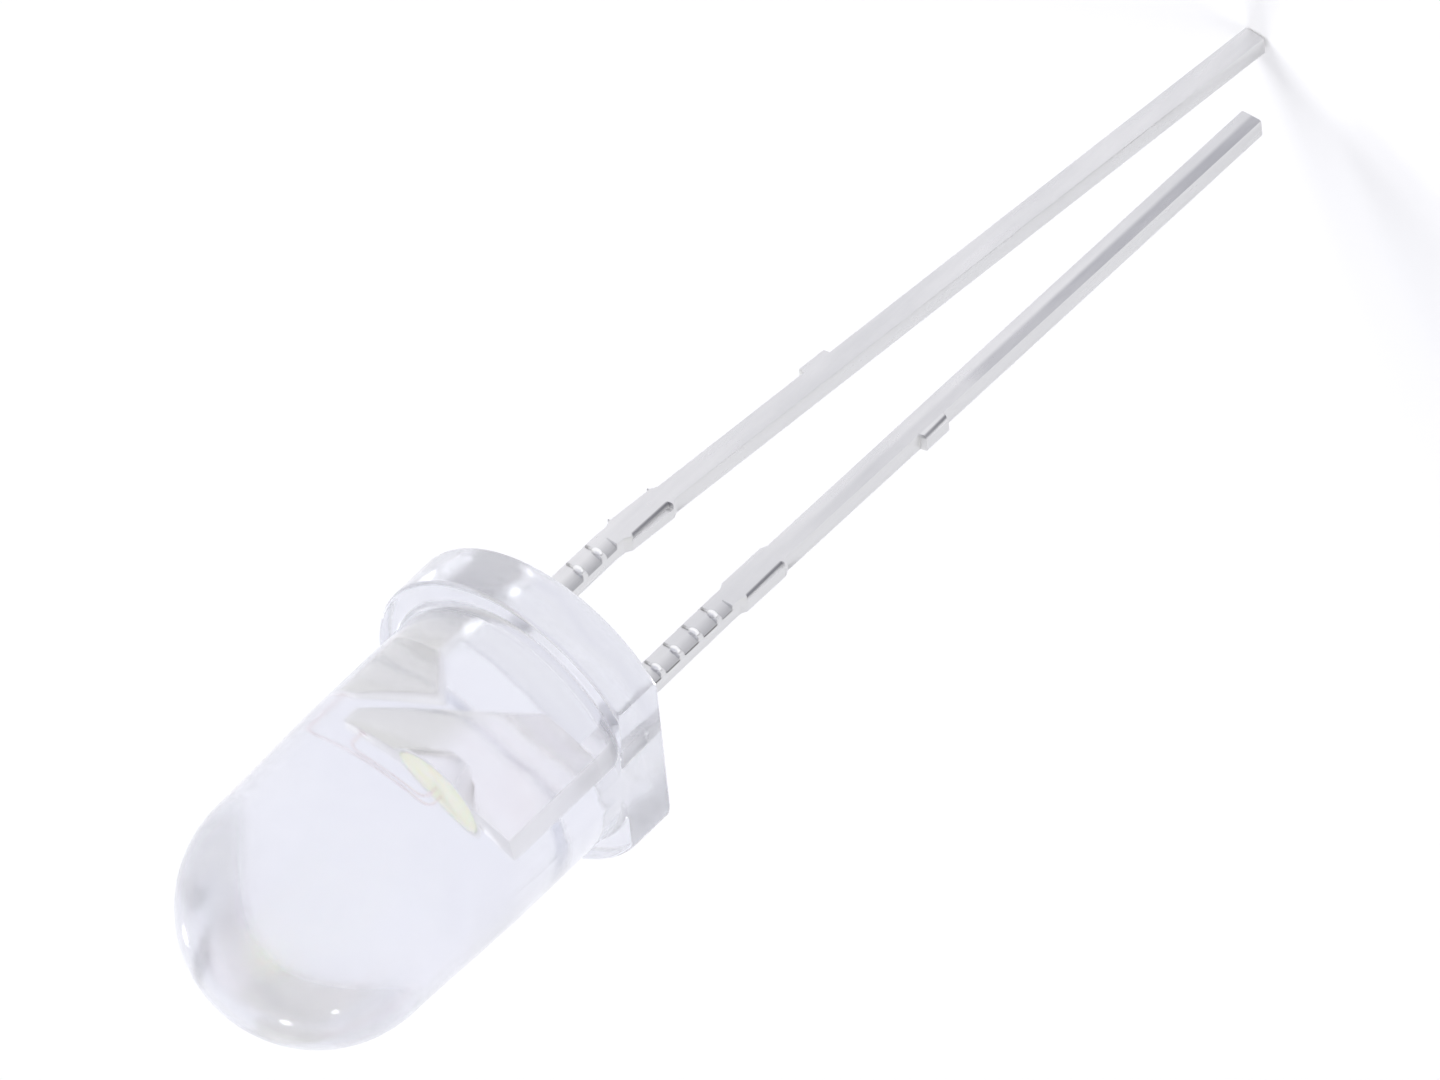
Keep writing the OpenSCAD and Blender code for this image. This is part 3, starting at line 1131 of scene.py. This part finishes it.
@dataclass
class BondWire:
    """A wire from its ball on the chip over a loop to its pressed foot, swept by Geometry Nodes.

    Sizes in millimetres.
    """

    side: Side
    node: str
    reach: float
    foot_z: float
    loop_top: float = 3.83
    start_z: float = 3.22
    pad_at: float = 0.09
    wire_d: float = 0.034
    bend_r: float = 0.14
    bend_steps: int = 10
    wire_sides: int = 14
    ball_d: float = 0.08
    ball_segments: int = 20
    # From pole to pole, the ball's width as a share of its greatest and the height above the chip
    ball_shape: tuple[Point, ...] = (
        (0.0, 0.0), (0.8, 0.0), (1.0, 0.01), (0.9, 0.025), (0.55, 0.036), (0.0, 0.04))
    off_chip: float = 0.01
    foot: float = 0.08
    foot_h: float = 0.02
    foot_edge: float = 0.3
    sharp: float = 40.0
    tree_name: str = "bond_wire"

    def tree(self) -> Tree:
        """Builds the tree once: a round wire along a line of edges, with its bends rounded.

        Returns:
            The geometry node tree.
        """
        found = bpy.data.node_groups.get(self.tree_name)
        if found is not None:
            return found
        takes = {"Line": "Geometry", "Wire Radius": "Float", "Bend Radius": "Float", "Metal": "Material"}
        tree, start, end = new_group(self.tree_name, "GeometryNodeTree", takes, {"Wire": "Geometry"})
        given = start.outputs
        curve = add_node(tree, "GeometryNodeMeshToCurve", {"Mesh": given["Line"]})
        bend = add_node(tree, "GeometryNodeFilletCurve", {
            "Curve": curve.outputs["Curve"], "Count": self.bend_steps, "Limit Radius": True,
            "Radius": given["Bend Radius"]}, mode="POLY")
        ring = add_node(tree, "GeometryNodeCurvePrimitiveCircle", {
            "Resolution": self.wire_sides, "Radius": given["Wire Radius"]}, mode="RADIUS")
        sweep = add_node(tree, "GeometryNodeCurveToMesh", {
            "Curve": bend.outputs["Curve"], "Profile Curve": ring.outputs["Curve"], "Fill Caps": True})
        smooth = add_node(tree, "GeometryNodeSetShadeSmooth", {"Geometry": sweep.outputs[0]})
        end_tree(tree, smooth.outputs[0], given["Metal"], end)
        return tree

    def line(self) -> Mesh:
        """The corners of the loop as a line of edges.

        Returns:
            The mesh, in metres.
        """
        y = self.side.value * self.pad_at
        corners = [(0.0, self.start_z + self.off_chip), (0.0, self.loop_top)]
        corners += [(self.reach, self.loop_top), (self.reach, self.foot_z + self.foot_h / 2)]
        mesh = bpy.data.meshes.new("wire_line")
        mesh.from_pydata([(-x * MM, y * MM, z * MM) for x, z in corners], [(0, 1), (1, 2), (2, 3)], [])
        return mesh

    def bonds(self, bm: Shape) -> None:
        """Adds the pressed ball and the foot.

        Args:
            bm: the shape to add to.
        """
        y = self.side.value * self.pad_at
        half = self.ball_d / 2
        outline = [(half * share, self.start_z + rise) for share, rise in self.ball_shape]
        ball = revolve(bm, outline, even_angles(self.ball_segments))
        bmesh.ops.translate(bm, vec=(0.0, y, 0.0), verts=ball)
        made = bmesh.ops.create_cube(bm, size=1.0)["verts"]
        bmesh.ops.scale(bm, vec=(self.foot, self.foot, self.foot_h), verts=made)
        bmesh.ops.translate(bm, vec=(-self.reach, y, self.foot_z + self.foot_h / 2), verts=made)
        rim = list({edge for vert in made for edge in vert.link_edges})
        edge = self.foot_h * self.foot_edge
        bmesh.ops.bevel(bm, geom=rim, offset=edge, segments=2, affect="EDGES", profile=0.5)

    def build(self, metal: Material) -> Piece:
        """Makes the wire with its bonds.

        Args:
            metal: its material.

        Returns:
            The finished piece.
        """
        piece = new_object(f"{self.node}_swept", self.line())
        piece.data.materials.append(metal)
        values = {"Wire Radius": self.wire_d / 2 * MM, "Bend Radius": self.bend_r * MM, "Metal": metal}
        bake_nodes(piece, self.tree(), values)
        bm = bmesh.new()
        self.bonds(bm)
        ends = mesh_from(bm, "bonds")
        both = bmesh.new()
        both.from_mesh(piece.data)
        both.from_mesh(ends)
        bmesh.ops.recalc_face_normals(both, faces=both.faces)
        both.to_mesh(piece.data)
        both.free()
        bpy.data.meshes.remove(ends)
        piece.data.shade_smooth()
        piece.data.set_sharp_from_angle(angle=math.radians(self.sharp))
        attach(piece, BODY)
        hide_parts(self.node)
        return piece


@dataclass
class CupContents:
    """The small pieces in the cup, which keep the shapes of their CAD nodes."""

    def dress(self, gold: Material) -> None:
        """Gives each carried node its material.

        Args:
            gold: the material of the pads.
        """
        looks = {"die_attach": PASTE.build(), "led_chip": CRYSTAL.build(), "bond_pads": gold}
        for node, material in looks.items():
            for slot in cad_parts[node].material_slots:
                slot.material = material
            LOG.info("dressed %s", node)


# The studio


@dataclass
class Lamp:
    """A soft square box of light that faces the LED. It shows as a highlight on gloss where it sparkles."""

    name: str
    place: Colour
    size: float
    power: float
    sparkles: bool = False

    def hang(self) -> None:
        """Puts the lamp into the scene."""
        data = bpy.data.lights.new(self.name, "AREA")
        data.shape = "SQUARE"
        data.size = self.size
        data.energy = self.power
        lamp = new_object(self.name, data)
        lamp.location = self.place
        lamp.rotation_mode = "QUATERNION"
        lamp.rotation_quaternion = (-Vector(self.place)).to_track_quat("-Z", "Y")
        lamp.visible_camera = False
        lamp.visible_glossy = self.sparkles
        lamp.visible_transmission = self.sparkles


@dataclass
class Studio:
    """Pale floor, soft light and the camera at the photograph's angle. Sizes in metres."""

    place: Colour = (0.20024, 0.30417, 0.20788)
    right: Colour = (0.77593, -0.07313, -0.62657)
    up: Colour = (-0.41546, 0.68817, -0.59482)
    lens_mm: float = 617.4
    sensor_mm: float = 36.0
    clip: tuple[float, float] = (0.01, 10.0)
    floor_size: float = 3.0
    floor_colour: Colour = (0.82, 0.82, 0.83)
    floor_glow: float = 0.19
    # Colour of the room's light low down and overhead, and of what gloss and clear epoxy show of it
    room: tuple[tuple[float, Colour], ...] = ((0.0, (0.95, 0.95, 0.97)), (0.8, (0.55, 0.55, 0.6)))
    room_strength: float = 0.75
    walls: tuple[tuple[float, Colour], ...] = ((0.12, WHITE), (0.75, (0.90, 0.90, 0.94)))
    # What the camera sees beyond the floor
    backdrop: Colour = (0.8, 0.8, 0.8)
    # Light turns many times inside the lens before it leaves
    bounces: int = 64
    lamps: tuple[Lamp, ...] = (
        Lamp("key", (-0.5, 0.6, 0.7), 0.5, 5.0),
        Lamp("fill", (0.9, 0.1, 0.5), 0.6, 2.5),
        Lamp("back", (-0.2, -0.9, 0.5), 0.4, 3.0),
        Lamp("low spark", (0.0, -0.86, 0.5), 0.09, 0.2, sparkles=True),
        Lamp("right spark", (0.5, -0.75, 0.44), 0.07, 0.15, sparkles=True),
        Lamp("left spark", (-0.79, -0.61, 0.09), 0.07, 0.15, sparkles=True),
    )

    def camera(self) -> None:
        """Sets the camera up."""
        data = bpy.data.cameras.new("camera")
        data.sensor_width = self.sensor_mm
        data.lens = self.lens_mm
        data.clip_start, data.clip_end = self.clip
        camera = new_object("camera", data)
        right = Vector(self.right).normalized()
        back = right.cross(Vector(self.up)).normalized()
        turn = Matrix((right, back.cross(right), back)).transposed().to_4x4()
        camera.matrix_world = Matrix.Translation(self.place) @ turn
        bpy.context.scene.camera = camera

    @staticmethod
    def seen(tree: Tree, path: Node) -> Socket:
        """One for camera, glossy and transmission rays, which see the background, by the Light Path node."""
        first = calculate(tree, "MAXIMUM", path.outputs["Is Camera Ray"], path.outputs["Is Glossy Ray"])
        return calculate(tree, "MAXIMUM", first, path.outputs["Is Transmission Ray"])

    def floor(self, height: float) -> None:
        """Lays the floor.

        Args:
            height: its height in metres.
        """
        half = self.floor_size / 2
        mesh = bpy.data.meshes.new("floor")
        corners = [(x * half, y * half, height) for x, y in ((-1, -1), (1, -1), (1, 1), (-1, 1))]
        mesh.from_pydata(corners, [], [(0, 1, 2, 3)])
        floor = new_object("floor", mesh)
        material = new_material("floor")
        tree = material.node_tree
        matt = add_node(tree, "ShaderNodeBsdfDiffuse", {"Color": self.floor_colour})
        seen = self.seen(tree, add_node(tree, "ShaderNodeLightPath"))
        lift = calculate(tree, "MULTIPLY", seen, self.floor_glow)
        glow = add_node(tree, "ShaderNodeEmission", {"Strength": lift})
        both = add_node(tree, "ShaderNodeAddShader", {0: matt.outputs[0], 1: glow.outputs[0]})
        add_node(tree, "ShaderNodeOutputMaterial", {"Surface": both.outputs[0]})
        mesh.materials.append(material)
        floor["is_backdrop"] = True

    @staticmethod
    def shade(tree: Tree, height: Socket, stops: tuple[tuple[float, Colour], ...], strength: float) -> Node:
        """The light of a part of the world, whose colour changes with height.

        Args:
            tree: the world's node tree.
            height: how high the ray points.
            stops: the two heights and their colours.
            strength: the light's strength.

        Returns:
            The Background node.
        """
        node = add_node(tree, "ShaderNodeValToRGB", {0: height})
        for element, (position, colour) in zip(node.color_ramp.elements, stops):
            element.position = position
            element.color = (*colour, 1.0)
        return add_node(tree, "ShaderNodeBackground", {"Color": node.outputs[0], "Strength": strength})

    def world(self) -> None:
        """Sets the light that comes from all round: pale, and greyer overhead."""
        world = bpy.data.worlds.new("studio")
        bpy.context.scene.world = world
        world.use_nodes = True
        tree = world.node_tree
        tree.nodes.clear()
        height = axes(tree, "Generated").outputs["Z"]
        path = add_node(tree, "ShaderNodeLightPath")
        room = self.shade(tree, height, self.room, self.room_strength)
        walls = self.shade(tree, height, self.walls, 1.0)
        gloss = mix_shaders(tree, self.seen(tree, path), room, walls)
        backdrop = add_node(tree, "ShaderNodeBackground", {"Color": self.backdrop, "Strength": 1.0})
        mixed = mix_shaders(tree, path.outputs["Is Camera Ray"], gloss, backdrop)
        add_node(tree, "ShaderNodeOutputWorld", {"Surface": mixed.outputs[0]})

    def build(self) -> None:
        """Sets the whole studio up."""
        scene = bpy.context.scene
        scene.view_settings.view_transform = "Standard"
        scene.cycles.max_bounces = self.bounces
        scene.cycles.glossy_bounces = self.bounces
        scene.cycles.transmission_bounces = self.bounces
        self.camera()
        self.floor(CAD_BOX[0].z)
        self.world()
        for lamp in self.lamps:
            lamp.hang()


def main() -> None:
    """Builds the LED and its studio, piece by piece."""
    logging.basicConfig(level=logging.INFO, format="%(name)s: %(message)s")
    Studio().build()
    metal = TIN.build()
    gold = GOLD.build()
    pieces = [
        Lens().build(),
        CathodeLead().build("cathode_lead_tinned", "cathode_lead", metal),
        AnodeLead().build("anode_lead_tinned", "anode_lead", metal),
        Phosphor().build(),
        BondWire(Side.CATHODE, "cathode_wire", reach=1.0, foot_z=3.45).build(gold),
        BondWire(Side.ANODE, "anode_wire", reach=1.405, foot_z=2.84).build(gold),
    ]
    CupContents().dress(gold)
    for piece in pieces:
        LOG.info("%s: %d faces", piece.name, len(piece.data.polygons))


if __name__ == "__main__":
    main()
